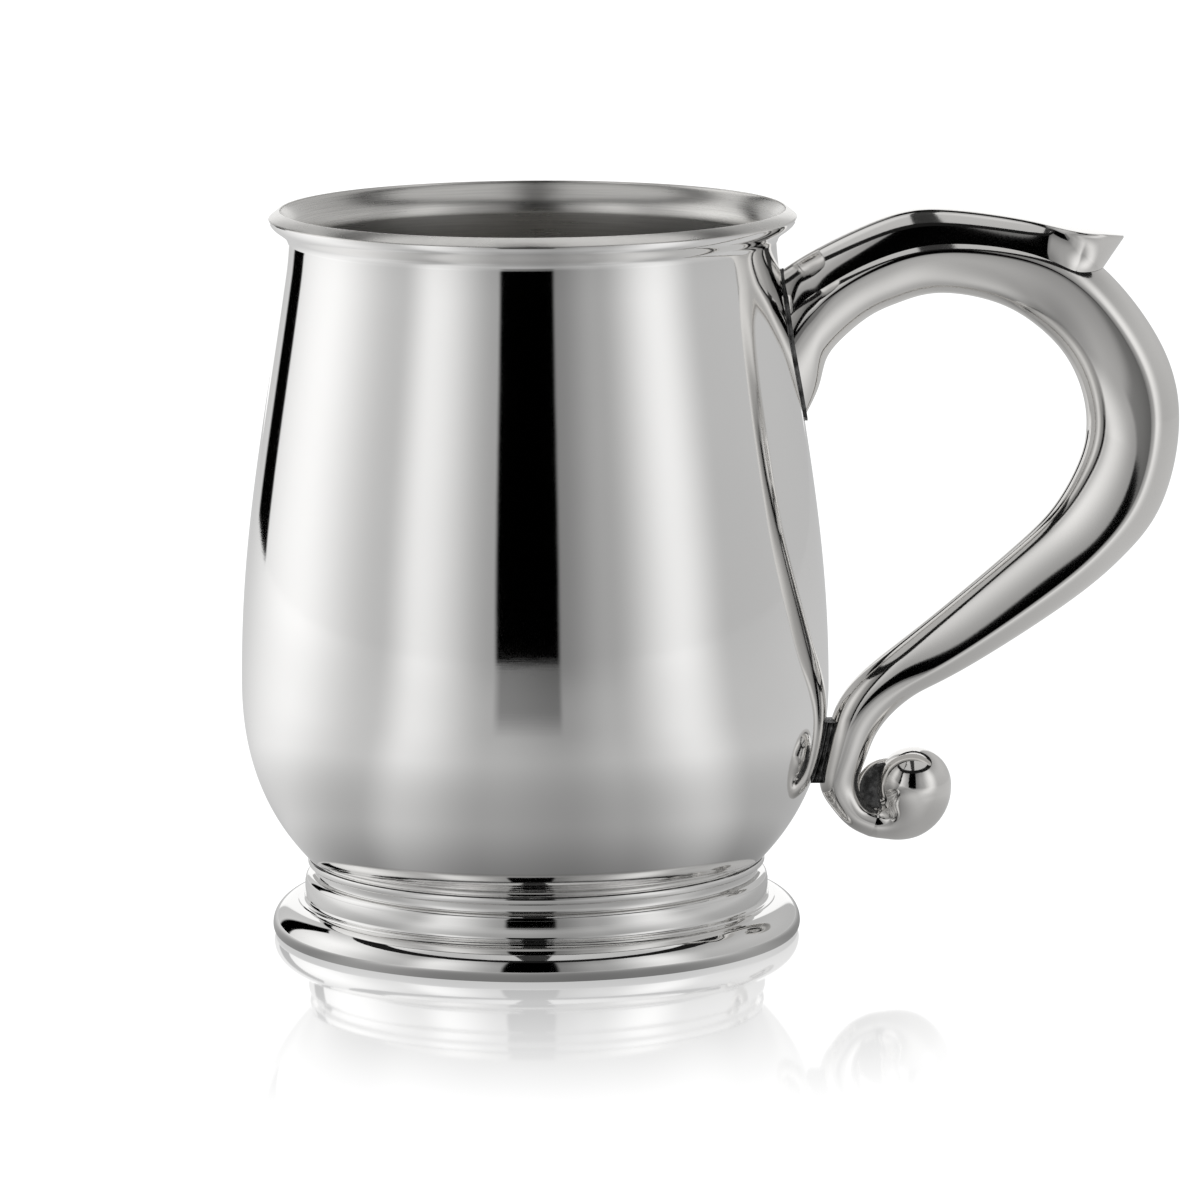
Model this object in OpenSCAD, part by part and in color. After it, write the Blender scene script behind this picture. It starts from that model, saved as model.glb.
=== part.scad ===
// Pewter tankard: a spun bellied body with a flared lip, a turned foot ring, and a hollow
// S-scroll handle with a thumb leaf and a ball terminal, joined with solder.
// Frame: origin on the table at the centre of the foot, +Z up, handle towards +X. Millimetres.

/* [Body] */
// Height from the table to the top of the lip
total_h = 117.4; // [116.8:0.1:118]
// Largest radius of the belly
belly_r = 47.4; // [47:0.1:48]
// Height of the widest part of the belly
belly_z = 40.5; // [39:0.5:42]
// Radius of the neck, just under the lip
neck_r = 39.3; // [39:0.1:39.6]
// Radius of the body where it meets the foot
seam_r = 36.9; // [36.6:0.1:37.2]
// Thickness of the spun wall
wall = 1.4; // [1:0.1:1.8]
// Thickness of the floor
floor_t = 1.8; // [1.5:0.1:2.5]

/* [Lip] */
// Outer radius of the lip
lip_r = 42.3; // [42:0.1:42.6]
// Radius of the lip's top inner edge
mouth_r = 40.5; // [40.3:0.1:40.8]
// Drop of the bevel from the top inner edge to the outer edge
bevel_h = 1.1; // [0.9:0.1:1.3]
// Radius of the round on the lip's outer edge
lip_round = 0.45; // [0.3:0.05:0.6]

/* [Foot] */
// Height of the foot, up to the underside of the body
foot_h = 12.5; // [12.3:0.1:12.7]
// Radius of the upper band of the foot
band_r = 37; // [36.8:0.1:37.2]
// Radius of the groove between the two bands
groove_r = 35.9; // [35.6:0.1:36.2]
// Radius of the lower band of the foot
plinth_r = 37.5; // [37.3:0.1:37.8]
// Largest radius of the domed flange
flange_r = 42.75; // [42.4:0.05:43]
// Inner radius of the resting ring
rest_inner_r = 39.8; // [39.5:0.1:40.2]
// Inner radius of the foot at its top
foot_bore_r = 34.8; // [34.4:0.1:35.2]

/* [Handle] */
// Thickness of the hollow handle's wall
shell_t = 1.2; // [1:0.1:1.3]
// Radius of the ball terminal
ball_r = 6.1; // [5.9:0.1:6.2]
// Width of the solder line between body and handle
solder_gap = 0.5; // [0.4:0.1:0.6]
// Height of the solder seam between body and foot
foot_seam_t = 0.2; // [0.15:0.05:0.3]

/* [Hidden] */
$fn = 96;

pewter = [0.78, 0.78, 0.77];
satin_pewter = [0.68, 0.68, 0.67];
solder = [0.36, 0.35, 0.33];
film = 0.05;             // clearance that a solder film takes between two castings
near = -1;               // side of the handle's parting plane towards -Y
far = 1;                 // side towards +Y

// ---- Curves ----

function mix(a, b, t) = a * (1 - t) + b * t;

function bezier(p, n) = [for (i = [0:n]) let (t = i / n, s = 1 - t)
    s * s * s * p[0] + 3 * s * s * t * p[1] + 3 * s * t * t * p[2] + t * t * t * p[3]];

function arc(c, r, from, to, n) = [for (i = [0:n]) let (a = mix(from, to, i / n))
    c + r * [cos(a), sin(a)]];

// A Catmull-Rom curve through the rows of a list, at a row number u that need not be whole
function row_at(rows, u) = let (
    last = len(rows) - 1,
    i = min(floor(u), last - 1),
    t = u - i,
    b = rows[i],
    c = rows[i + 1],
    a = i > 0 ? rows[i - 1] : 2 * b - c,
    d = i + 2 <= last ? rows[i + 2] : 2 * c - b)
    0.5 * (2 * b + (c - a) * t + (2 * a - 5 * b + 4 * c - d) * t * t
           + (3 * b - a - 3 * c + d) * t * t * t);

// ---- Body ----

cone_top = [neck_r + 0.45, total_h - 10.2];   // where the straight cone meets the neck
cone_angle = 8.5;                             // lean of the cone from the vertical
base_angle = 43;                              // lean of the wall where it meets the foot

belly_curve = bezier([[seam_r, foot_h],
                      [seam_r, foot_h] + 5.8 * [sin(base_angle), cos(base_angle)],
                      [belly_r, belly_z - 15.7],
                      [belly_r, belly_z]], 16);
cone_curve = bezier([[belly_r, belly_z],
                     [belly_r, belly_z + 23.4],
                     cone_top + 26.8 * [sin(cone_angle), -cos(cone_angle)],
                     cone_top], 18);
outer_wall = concat(belly_curve, [for (i = [1:len(cone_curve) - 1]) cone_curve[i]]);

neck_low = [neck_r, total_h - 5.2];
lip_low = [lip_r - 0.08, total_h - 1.8];
lip_under = bezier([neck_low,
                    neck_low + [0.02, 1.5],
                    lip_low - [0.5, 1.5],
                    lip_low], 8);
lip_edge = arc([lip_r - lip_round, total_h - bevel_h - 0.4], lip_round, 0, 55, 3);
lip_top = arc([mouth_r + 0.12, total_h - 0.14], 0.14, 70, 190, 4);
mouth_flare = bezier([[mouth_r - 0.05, total_h - 0.3],
                      [mouth_r - 1.1, total_h - 2.3],
                      [neck_r - wall + 0.05, total_h - 4],
                      [neck_r - wall, total_h - 7.5]], 7);

// The inner wall is the outer one moved inwards by the wall's thickness
function inward(p, i) = let (
    d = p[min(i + 1, len(p) - 1)] - p[max(i - 1, 0)])
    p[i] + wall * [-d[1], d[0]] / norm(d);

floor_top = foot_h + floor_t;
inner_wall = [for (i = [len(outer_wall) - 1:-1:0]) let (q = inward(outer_wall, i))
    if (q[1] > floor_top + 1) q];
floor_corner = let (q = inner_wall[len(inner_wall) - 1])
    [[q[0] - 0.9, floor_top + 0.35], [q[0] - 2.2, floor_top]];

body_section = concat([[0, foot_h]], outer_wall, lip_under, lip_edge, lip_top,
                      mouth_flare, inner_wall, floor_corner, [[0, floor_top]]);

wall_table = [for (p = outer_wall) [p[1], p[0]]];
function body_r(z) = lookup(z, wall_table);
// A point on the body's outside, moved out by a gap, at the given y and z
function on_body(p, gap) = [sqrt(pow(body_r(p[2]) + gap, 2) - p[1] * p[1]), p[1], p[2]];

module body_shell() {
    color(pewter) rotate_extrude() polygon(body_section);
}

// ---- Foot ----

band_top = foot_h - foot_seam_t;
groove_top = 11.2;
groove_bottom = 9.8;
plinth_top = 8.3;
plinth_bottom = 6.2;
dome_top = 5.4;
widest_z = 1.3;                               // height of the flange's largest radius
rest_outer_r = flange_r - 0.8;

foot_outside = concat(
    [[band_r, band_top], [band_r, groove_top + 0.45]],
    arc([band_r - 0.35, groove_top + 0.35], 0.35, 0, -90, 3),
    [[groove_r, groove_top], [groove_r, groove_bottom]],
    arc([plinth_r - 1.2, groove_bottom - 1.1], 1.1, 80, 0, 5),
    [[plinth_r, plinth_top], [plinth_r, plinth_bottom]],
    arc([plinth_r + 0.6, plinth_bottom], 0.6, 180, 270, 3),
    [[plinth_r + 1.1, plinth_bottom - 0.6]],
    bezier([[plinth_r + 1.2, dome_top],
            [plinth_r + 3.2, dome_top - 0.1],
            [flange_r, widest_z + 2.3],
            [flange_r, widest_z]], 9),
    bezier([[flange_r, widest_z],
            [flange_r, 0.6],
            [rest_outer_r + 0.5, 0],
            [rest_outer_r, 0]], 5));
foot_inside = [[rest_inner_r, 0], [rest_inner_r - 0.4, 0.8], [plinth_r - 0.6, 3.4],
               [foot_bore_r + 0.6, 7.5], [foot_bore_r, band_top]];

module foot_ring() {
    color(pewter) rotate_extrude() polygon(concat(foot_outside, foot_inside));
}

module foot_solder_seam() {
    color(solder) rotate_extrude() translate([foot_bore_r, band_top])
        square([seam_r - foot_bore_r, foot_seam_t]);
}

// ---- Handle ----

// Each row is a cross-section: the x, z of its finger-side edge, the x, z of its outer edge,
// half its width across Y, how far its finger side is pinched to a point (0 to 1), and how far
// it is a wedge instead of an ellipse (0 to 1). Below the grip the finger side faces the body,
// then becomes the outside of the volute.
handle_rows = [
    [43.3, 83.1, 40.6, 102.6, 5.2, 0.75, 0],
    [45.8, 88.4, 42.3, 104.2, 5.2, 0.60, 0.2],
    [47.0, 92.8, 44.2, 105.4, 5.2, 0.40, 0.3],
    [49.8, 96.4, 46.2, 106.6, 5.2, 0.20, 0.6],
    [54.2, 99.9, 50.0, 108.9, 5.2, 0.05, 0.8],
    [58.9, 102.0, 56.3, 111.9, 5.3, 0, 0.9],
    [65.2, 103.4, 65.2, 113.8, 5.4, 0, 1],
    [74.0, 101.9, 76.8, 113.4, 5.8, 0, 1],
    [80.6, 98.2, 86.6, 110.7, 6.3, 0, 1],
    [85.4, 93.2, 94.7, 103.9, 6.6, 0, 0.9],
    [88.2, 87.0, 101.8, 92.8, 6.8, 0, 0.8],
    [88.8, 80.8, 103.7, 80.7, 6.8, 0, 0.8],
    [87.2, 75.0, 100.9, 68.8, 6.6, 0, 0.9],
    [83.6, 68.7, 95.2, 60.9, 6.2, 0, 1],
    [76.8, 61.8, 85.8, 52.9, 5.6, 0, 1],
    [64.1, 51.0, 69.9, 42.6, 4.8, 0, 1],
    [56.0, 44.6, 62.0, 38.4, 4.3, 0, 0.5],
    [51.0, 39.9, 57.6, 34.9, 4.0, 0, 0.1],
    [48.1, 34.8, 54.9, 31.2, 3.8, 0, 0],
    [46.7, 28.8, 53.4, 27.4, 3.5, 0, 0],
    [46.0, 23.4, 52.3, 23.9, 3.1, 0, 0],
    [47.8, 19.6, 52.8, 21.4, 2.8, 0, 0],
    [50.6, 16.5, 53.8, 19.9, 2.7, 0, 0],
    [54.0, 14.7, 55.6, 19.3, 2.6, 0, 0]];
last_row = len(handle_rows) - 1;
row_step = 0.5;                               // stations per row of the table
side_steps = 12;                              // facets round half a cross-section
ridge_angle = 67.5;                           // where a wedge is widest, round from its outer edge
ridge_turn = [1.3, 1.4];                      // how sharply it turns there, inside and outside

// Half-width of a wedge-shaped section whose widest part is 1, from its finger side (s = -1)
// to its outer edge (s = 1)
function wedge(s) = let (
    ridge = cos(ridge_angle),
    inside = pow(max(ridge - s, 0) / (1 + ridge), ridge_turn[0]),
    outside = pow(max(s - ridge, 0) / (1 - ridge), ridge_turn[1]))
    sqrt(max(1 - inside - outside, 0));

// A point of the handle's skin: u along the rows, phi round the section from its outer
// edge (0) to its finger side (180), moved inwards by inset
function skin(u, phi, inset = 0) = let (
    s = row_at(handle_rows, u),
    mid = [s[0] + s[2], s[1] + s[3]] / 2,
    reach = [s[2] - s[0], s[3] - s[1]] / 2,
    depth = norm(reach),
    p = mid + reach / depth * (depth - inset) * cos(phi),
    pinch = 1 - s[5] * pow((1 - cos(phi)) / 2, 1.5),
    fullness = mix(abs(sin(phi)), wedge(cos(phi)), s[6]))
    [p[0], (s[4] - inset) * sign(sin(phi)) * fullness * pinch, p[1]];

// Faces of a solid swept through closed rings of the same size, capped at both ends by
// the triangles listed in caps
function sweep_sides(rings, size) = [for (k = [0:rings - 2], i = [0:size - 1]) let (
    a = k * size + i,
    b = k * size + (i + 1) % size) each [[a, b, b + size], [a, b + size, a + size]]];

function flip(faces) = [for (f = faces) [f[2], f[1], f[0]]];

module sweep(rings, cap, turned) {
    size = len(rings[0]);
    last = (len(rings) - 1) * size;
    sides = sweep_sides(len(rings), size);
    end_cap = [for (f = cap) [f[0] + last, f[1] + last, f[2] + last]];
    faces = concat(sides, flip(cap), end_cap);
    polyhedron([for (r = rings) each r], turned ? flip(faces) : faces, convexity = 8);
}

// Cap triangles for a ring made of an outer run and the matching inner run, turned back
function shell_cap(n) = [for (i = [0:n - 1]) let (
    o = i,
    q = 2 * n + 1 - i) each [[o, o + 1, q - 1], [o, q - 1, q]]];

// Cap triangles for a convex ring
function fan_cap(size) = [for (i = [1:size - 2]) [0, i, i + 1]];

// One half of a hollow section, on the given side of the parting plane
function half_ring(u, side) = let (
    angles = [for (i = [0:side_steps]) i * 180 / side_steps],
    back = [for (i = [side_steps:-1:0]) i * 180 / side_steps],
    ring = concat([for (a = angles) skin(u, side * a)],
                  [for (a = back) skin(u, side * a, shell_t)]))
    u > 0 ? ring : [for (p = ring) on_body(p, solder_gap)];

module handle_half(side) {
    rings = [for (u = [0:row_step:last_row]) half_ring(u, side)];
    sweep(rings, shell_cap(side_steps), side == near);
}

module handle_near_half() {
    color(satin_pewter) handle_half(near);
}

module handle_far_half() {
    color(satin_pewter) handle_half(far);
}

// ---- Thumb leaf ----

// Each row is: the handle row it sits on, the x and z of its top, half the width of its top,
// and how far round the handle its root spreads, in degrees either side
leaf_rows = [
    [0, 39.8, 106.2, 0.9, 40],
    [3, 45.4, 109.3, 1.2, 46],
    [5, 55.6, 114.6, 1.9, 51],
    [6, 65.0, 116.5, 2.4, 52],
    [7, 76.5, 115.0, 3.1, 54],
    [7.6, 82.5, 113.7, 4.2, 56],
    [8, 86.6, 112.9, 5.6, 56],
    [8.25, 89.8, 112.5, 5.8, 50],
    [8.45, 92.3, 112.2, 4.5, 34],
    [8.55, 94.0, 111.8, 2.2, 15],
    [8.58, 94.6, 111.6, 0.3, 3]];
leaf_root_steps = 4;                          // facets on each side of the leaf's root
leaf_flank_steps = 3;                         // facets down each hollow flank
leaf_edge = 0.35;                             // thickness of the leaf's rim
waist_lift = 1.1;                             // how far the flanks' waist stands off the handle

// The far flank of the leaf, curving in from its root on the handle and out to its rim
function flank(u, spread, rim) = let (
    root = skin(u, spread, -film),
    waist = skin(u, 0.45 * spread, -waist_lift))
    [for (i = [1:leaf_flank_steps]) let (t = i / leaf_flank_steps)
        mix(mix(root, waist, t), mix(waist, rim, t), t)];

function leaf_ring(k) = let (
    s = row_at(leaf_rows, k),
    root = [for (i = [-leaf_root_steps:leaf_root_steps])
            skin(s[0], i * s[4] / leaf_root_steps, -film)],
    rim = [s[1], s[3], s[2] - leaf_edge],
    top = [s[1], s[3] * 0.96, s[2]],
    far_side = concat(flank(s[0], s[4], rim), [top]),
    near_side = [for (i = [leaf_flank_steps:-1:0]) let (p = far_side[i]) [p[0], -p[1], p[2]]],
    ring = concat(root, far_side, near_side))
    k > 0 ? ring : [for (p = ring) on_body(p, solder_gap)];

leaf_rings = [for (k = [0:0.5:len(leaf_rows) - 1]) leaf_ring(k)];

// The caps join the near and far halves of the outline point by point
function mirror_cap(size) = let (m = leaf_root_steps) [for (i = [0:(size - 3) / 2]) let (
    a = (m + i) % size,
    b = (m + i + 1) % size,
    c = (m - i - 1 + size) % size,
    d = (m - i + size) % size) each (i == 0 ? [[a, b, c]] : [[a, b, c], [a, c, d]])];

module thumb_leaf() {
    size = len(leaf_rings[0]);
    color(satin_pewter) sweep(leaf_rings, mirror_cap(size), true);
}

// ---- Ball terminal ----

ball_centre = [61.2, 0, 23.2];
volute_centre = [58.5, 23.0];                 // x, z
volute_r = [6.6, 4.4];                        // radius of the neck's centre line, at its ends
neck_depth = [2.4, 4.1];                      // half its thickness, at its ends
neck_width = [2.7, 5.0];                      // half its width across Y, at its ends
neck_steps = 6;
neck_from = 240;                              // where the neck leaves the handle, degrees
neck_to = 342;                                // where it ends inside the ball
crook_centre = [56.9, 0, 23.3];               // thin metal that closes the crook of the scroll
crook_r = 3.8;
crook_t = 3;

function closed_ring(u) = [for (i = [0:2 * side_steps - 1]) skin(u, i * 180 / side_steps)];

// A neck section: an ellipse on the volute's centre line
function neck_ring(i) = let (
    t = i / neck_steps,
    a = mix(neck_from, neck_to, t),
    depth = mix(neck_depth[0], neck_depth[1], t),
    width = mix(neck_width[0], neck_width[1], t),
    out = [cos(a), sin(a)],
    mid = volute_centre + mix(volute_r[0], volute_r[1], t) * out)
    [for (j = [0:2 * side_steps - 1]) let (
        phi = j * 180 / side_steps,
        p = mid - out * depth * cos(phi))
        [p[0], width * sin(phi), p[1]]];

module scroll_ball() {
    rings = concat([closed_ring(last_row)], [for (i = [1:neck_steps]) neck_ring(i)]);
    color(satin_pewter) union() {
        translate(ball_centre) sphere(r = ball_r, $fn = 48);
        translate(crook_centre) rotate([90, 0, 0])
            cylinder(r = crook_r, h = crook_t, center = true, $fn = 48);
        sweep(rings, fan_cap(2 * side_steps), false);
    }
}

// ---- Solder ----

bead = 0.3;                                   // how far the solder stands past the handle's edge

// The upper joint: a band of solder under the rim of the hollow handle, which rises at its
// outer edge to take in the end of the thumb leaf
leaf_spread = leaf_rows[0][4];
leaf_rise = leaf_rows[0][2] - handle_rows[0][3];
function rise_at(phi) = abs(phi) < leaf_spread ? leaf_rise * (1 - pow(phi / leaf_spread, 2)) : 0;

module upper_joint_solder() {
    n = 2 * side_steps;
    angles = [for (i = [0:n]) i * 180 / side_steps - 180];
    outline = [for (a = angles) skin(0, a, -bead) + [0, 0, rise_at(a)]];
    hollow = [for (i = [n:-1:0]) skin(0, angles[i], shell_t)];
    ring = concat(outline, hollow);
    rings = [for (g = [film / 2, solder_gap - film / 2]) [for (p = ring) on_body(p, g)]];
    color(solder) upper_band(rings, n);
}

// The band closes on itself, so its first and last columns share their points
module upper_band(rings, n) {
    size = 2 * n + 2;
    function o(i, r) = r * size + i % n;
    function h(i, r) = r * size + 2 * n + 1 - i % n;
    faces = [for (i = [0:n - 1]) each [
        [o(i, 0), h(i, 0), h(i + 1, 0)], [o(i, 0), h(i + 1, 0), o(i + 1, 0)],
        [o(i, 1), h(i + 1, 1), h(i, 1)], [o(i, 1), o(i + 1, 1), h(i + 1, 1)],
        [o(i, 0), o(i + 1, 0), o(i + 1, 1)], [o(i, 0), o(i + 1, 1), o(i, 1)],
        [h(i, 0), h(i + 1, 1), h(i + 1, 0)], [h(i, 0), h(i, 1), h(i + 1, 1)]]];
    polyhedron([for (r = rings) each r], faces, convexity = 6);
}

// The lower joint: a web of solder that fills the gap between the scroll and the body
web_from = 18.1;
web_to = 19.9;
web_half_angle = 38;
web_steps = 6;

module lower_joint_solder() {
    columns = [for (i = [-web_steps:web_steps]) 180 + i * web_half_angle / web_steps];
    rings = [for (k = [0:web_steps]) let (
        u = mix(web_from, web_to, k / web_steps),
        skin_side = [for (a = columns) skin(u, a, -film)],
        body_side = [for (i = [len(columns) - 1:-1:0]) on_body(skin_side[i], film)])
        concat(skin_side, body_side)];
    color(solder) sweep(rings, shell_cap(2 * web_steps), true);
}

body_shell();
foot_ring();
foot_solder_seam();
handle_near_half();
handle_far_half();
thumb_leaf();
scroll_ball();
upper_joint_solder();
lower_joint_solder();
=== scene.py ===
"""Looks of a pewter tankard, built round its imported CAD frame.

Outlines are worked in millimetres, as in the CAD source, and become metres when a mesh is
made. The handle points to +X, and the camera looks along +Y, square on to the handle.
"""

import math

import bmesh
import bpy
import numpy as np
from mathutils import Matrix, Quaternion, Vector


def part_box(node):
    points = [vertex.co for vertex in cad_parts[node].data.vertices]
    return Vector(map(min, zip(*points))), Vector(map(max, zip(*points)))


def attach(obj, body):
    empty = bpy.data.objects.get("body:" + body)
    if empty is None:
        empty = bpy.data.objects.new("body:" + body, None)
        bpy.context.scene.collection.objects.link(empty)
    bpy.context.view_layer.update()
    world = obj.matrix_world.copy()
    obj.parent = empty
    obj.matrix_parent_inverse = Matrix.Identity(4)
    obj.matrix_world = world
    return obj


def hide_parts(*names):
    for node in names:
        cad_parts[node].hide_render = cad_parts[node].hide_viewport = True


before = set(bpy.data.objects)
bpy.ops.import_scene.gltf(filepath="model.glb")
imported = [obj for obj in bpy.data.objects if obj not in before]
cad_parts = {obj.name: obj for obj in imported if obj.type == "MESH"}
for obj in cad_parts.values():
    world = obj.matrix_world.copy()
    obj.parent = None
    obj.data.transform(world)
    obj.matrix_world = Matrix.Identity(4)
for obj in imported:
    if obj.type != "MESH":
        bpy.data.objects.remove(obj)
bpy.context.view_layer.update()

MM = 0.001
ROOT = "root"


def box_mm(node):
    """The lowest and highest corners of a CAD node, in millimetres."""
    low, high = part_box(node)
    return np.array(low) / MM, np.array(high) / MM


# ---- Sizes, from the frame where it has them ----

shell_low, shell_high = box_mm("body_shell")
foot_low, foot_high = box_mm("foot_ring")
_, ball_high = box_mm("scroll_ball")

TOTAL_H = shell_high[2]
FOOT_H = shell_low[2]
BELLY_R = (shell_high[1] - shell_low[1]) / 2
FLANGE_R = (foot_high[1] - foot_low[1]) / 2
BAND_TOP = foot_high[2]
BALL_R = ball_high[1]
BALL_CENTRE = np.array([ball_high[0] - BALL_R, 0, ball_high[2] - BALL_R])

BELLY_Z = 40.5
NECK_R = 39.3
SEAM_R = 36.9
WALL = 1.4
FLOOR_T = 1.8
LIP_R = 42.3
MOUTH_R = 40.5
BEVEL_H = 1.1
LIP_ROUND = 0.45
BAND_R = 37.0
GROOVE_R = 35.9
PLINTH_R = 37.5
REST_INNER_R = 39.8
FOOT_BORE_R = 34.8
SHELL_T = 1.2
SOLDER_GAP = 0.5
FILM = 0.05


# ---- Curves ----

def mix(a, b, t):
    return a * (1 - t) + b * t


def bezier(points, steps):
    p = np.array(points, float)
    t = np.linspace(0, 1, steps + 1)[:, None]
    s = 1 - t
    return s**3 * p[0] + 3 * s * s * t * p[1] + 3 * s * t * t * p[2] + t**3 * p[3]


def arc(centre, radius, start, end, steps):
    a = np.radians(np.linspace(start, end, steps + 1))
    return np.array(centre) + radius * np.stack([np.cos(a), np.sin(a)], 1)


def polar(angle):
    """A unit vector at an angle in degrees."""
    a = math.radians(angle)
    return np.array([math.cos(a), math.sin(a)])


def smooth_rows(rows):
    """A function of a row number that runs through a table's rows with no jump in curvature."""
    y = np.array(rows, float)
    n = len(y)
    system = np.zeros((n, n))
    right = np.zeros_like(y)
    system[0, 0] = system[-1, -1] = 1
    for i in range(1, n - 1):
        system[i, i - 1:i + 2] = 1, 4, 1
        right[i] = 6 * (y[i + 1] - 2 * y[i] + y[i - 1])
    bend = np.linalg.solve(system, right)

    def at(u):
        u = np.atleast_1d(np.asarray(u, float))
        i = np.clip(np.floor(u).astype(int), 0, n - 2)
        t = (u - i)[:, None]
        s = 1 - t
        return (s * y[i] + t * y[i + 1]
                + ((s**3 - s) * bend[i] + (t**3 - t) * bend[i + 1]) / 6)

    return at


# ---- Mesh making ----

def new_object(name, vertices_mm, faces, materials, face_material=None):
    mesh = bpy.data.meshes.new(name)
    mesh.from_pydata((np.asarray(vertices_mm) * MM).tolist(), [], [list(f) for f in faces])
    mesh.validate()
    for m in materials:
        mesh.materials.append(m)
    if face_material is not None:
        mesh.polygons.foreach_set("material_index", face_material)
    mesh.polygons.foreach_set("use_smooth", [True] * len(mesh.polygons))
    piece = bpy.data.objects.new(name, mesh)
    bpy.context.scene.collection.objects.link(piece)
    return piece


def crease(piece, degrees):
    piece.data.set_sharp_from_angle(angle=math.radians(degrees))


def finish_piece(piece, slot, *nodes):
    """Puts a finished piece on the one body, in place of its CAD nodes."""
    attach(piece, ROOT)
    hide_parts(*nodes)
    return piece


def lathe(name, outline, materials, steps=288, closed=True, material_of=None):
    """Turns an outline of (radius, height) points round the Z axis. A radius of 0 is a pole."""
    outline = np.asarray(outline, float)
    step = np.linalg.norm(np.diff(outline, axis=0), axis=1)
    outline = outline[np.concatenate([[True], step > 1e-6])]
    turn = np.arange(steps) * 2 * math.pi / steps
    rows, vertices = [], []
    for radius, z in outline:
        if radius < 1e-6:
            rows.append([len(vertices)] * steps)
            vertices.append([0, 0, z])
            continue
        rows.append(list(range(len(vertices), len(vertices) + steps)))
        vertices.extend(np.stack([radius * np.cos(turn), radius * np.sin(turn),
                                  np.full(steps, z)], 1).tolist())
    pairs = list(zip(range(len(rows) - 1), range(1, len(rows))))
    if closed:
        pairs.append((len(rows) - 1, 0))
    faces, kinds = [], []
    for a, b in pairs:
        for i in range(steps):
            j = (i + 1) % steps
            quad = [rows[a][i], rows[a][j], rows[b][j], rows[b][i]]
            face = [v for k, v in enumerate(quad) if v != quad[k - 1]]
            if len(set(face)) > 2:
                faces.append(face)
                kinds.append(material_of(a) if material_of else 0)
    return new_object(name, vertices, faces, materials, kinds)


def grid_faces(rows, columns, around=False):
    """Quads over a grid of points stored row by row; around joins the last column to the first."""
    return [[k * columns + i, k * columns + (i + 1) % columns,
             (k + 1) * columns + (i + 1) % columns, (k + 1) * columns + i]
            for k in range(rows - 1) for i in range(columns if around else columns - 1)]


def outward(piece):
    """Turns every face of a closed piece outwards."""
    work = bmesh.new()
    work.from_mesh(piece.data)
    bmesh.ops.recalc_face_normals(work, faces=work.faces)
    work.to_mesh(piece.data)
    work.free()


# ---- Materials ----

class Nodes:
    """A short way to write a node tree."""

    def __init__(self, owner):
        owner.use_nodes = True
        self.tree = owner.node_tree
        self.tree.nodes.clear()

    def add(self, kind, inputs=None, **settings):
        node = self.tree.nodes.new("ShaderNode" + kind)
        for key, value in settings.items():
            setattr(node, key, value)
        for key, value in (inputs or {}).items():
            socket = node.inputs[key]
            if isinstance(value, bpy.types.NodeSocket):
                self.tree.links.new(value, socket)
            else:
                socket.default_value = value
        return node

    def math(self, operation, *values):
        inputs = dict(enumerate(values))
        return self.add("Math", inputs, operation=operation).outputs[0]

    def ramp(self, value, stops, smooth=True):
        """A grey ramp: stops are (position, brightness)."""
        node = self.add("ValToRGB", {"Fac": value})
        ramp = node.color_ramp
        ramp.interpolation = "EASE" if smooth else "LINEAR"
        while len(ramp.elements) < len(stops):
            ramp.elements.new(0.5)
        for element, (position, grey) in zip(ramp.elements, stops):
            element.position = position
            element.color = (grey, grey, grey, 1)
        return node.outputs["Color"]


def metal_coordinates(n, across, along):
    """Noise space drawn out round the Z axis, for marks that run round a turned surface."""
    place = n.add("TexCoord").outputs["Object"]
    part = n.add("SeparateXYZ", {0: place})
    x, y, z = (part.outputs[k] for k in "XYZ")
    radius = n.math("SQRT", n.math("ADD", n.math("MULTIPLY", x, x), n.math("MULTIPLY", y, y)))
    height = n.math("ADD", z, n.math("MULTIPLY", radius, 0.73))
    return n.add("CombineXYZ", {"X": n.math("MULTIPLY", x, along),
                                "Y": n.math("MULTIPLY", y, along),
                                "Z": n.math("MULTIPLY", height, across)}).outputs[0]


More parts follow.
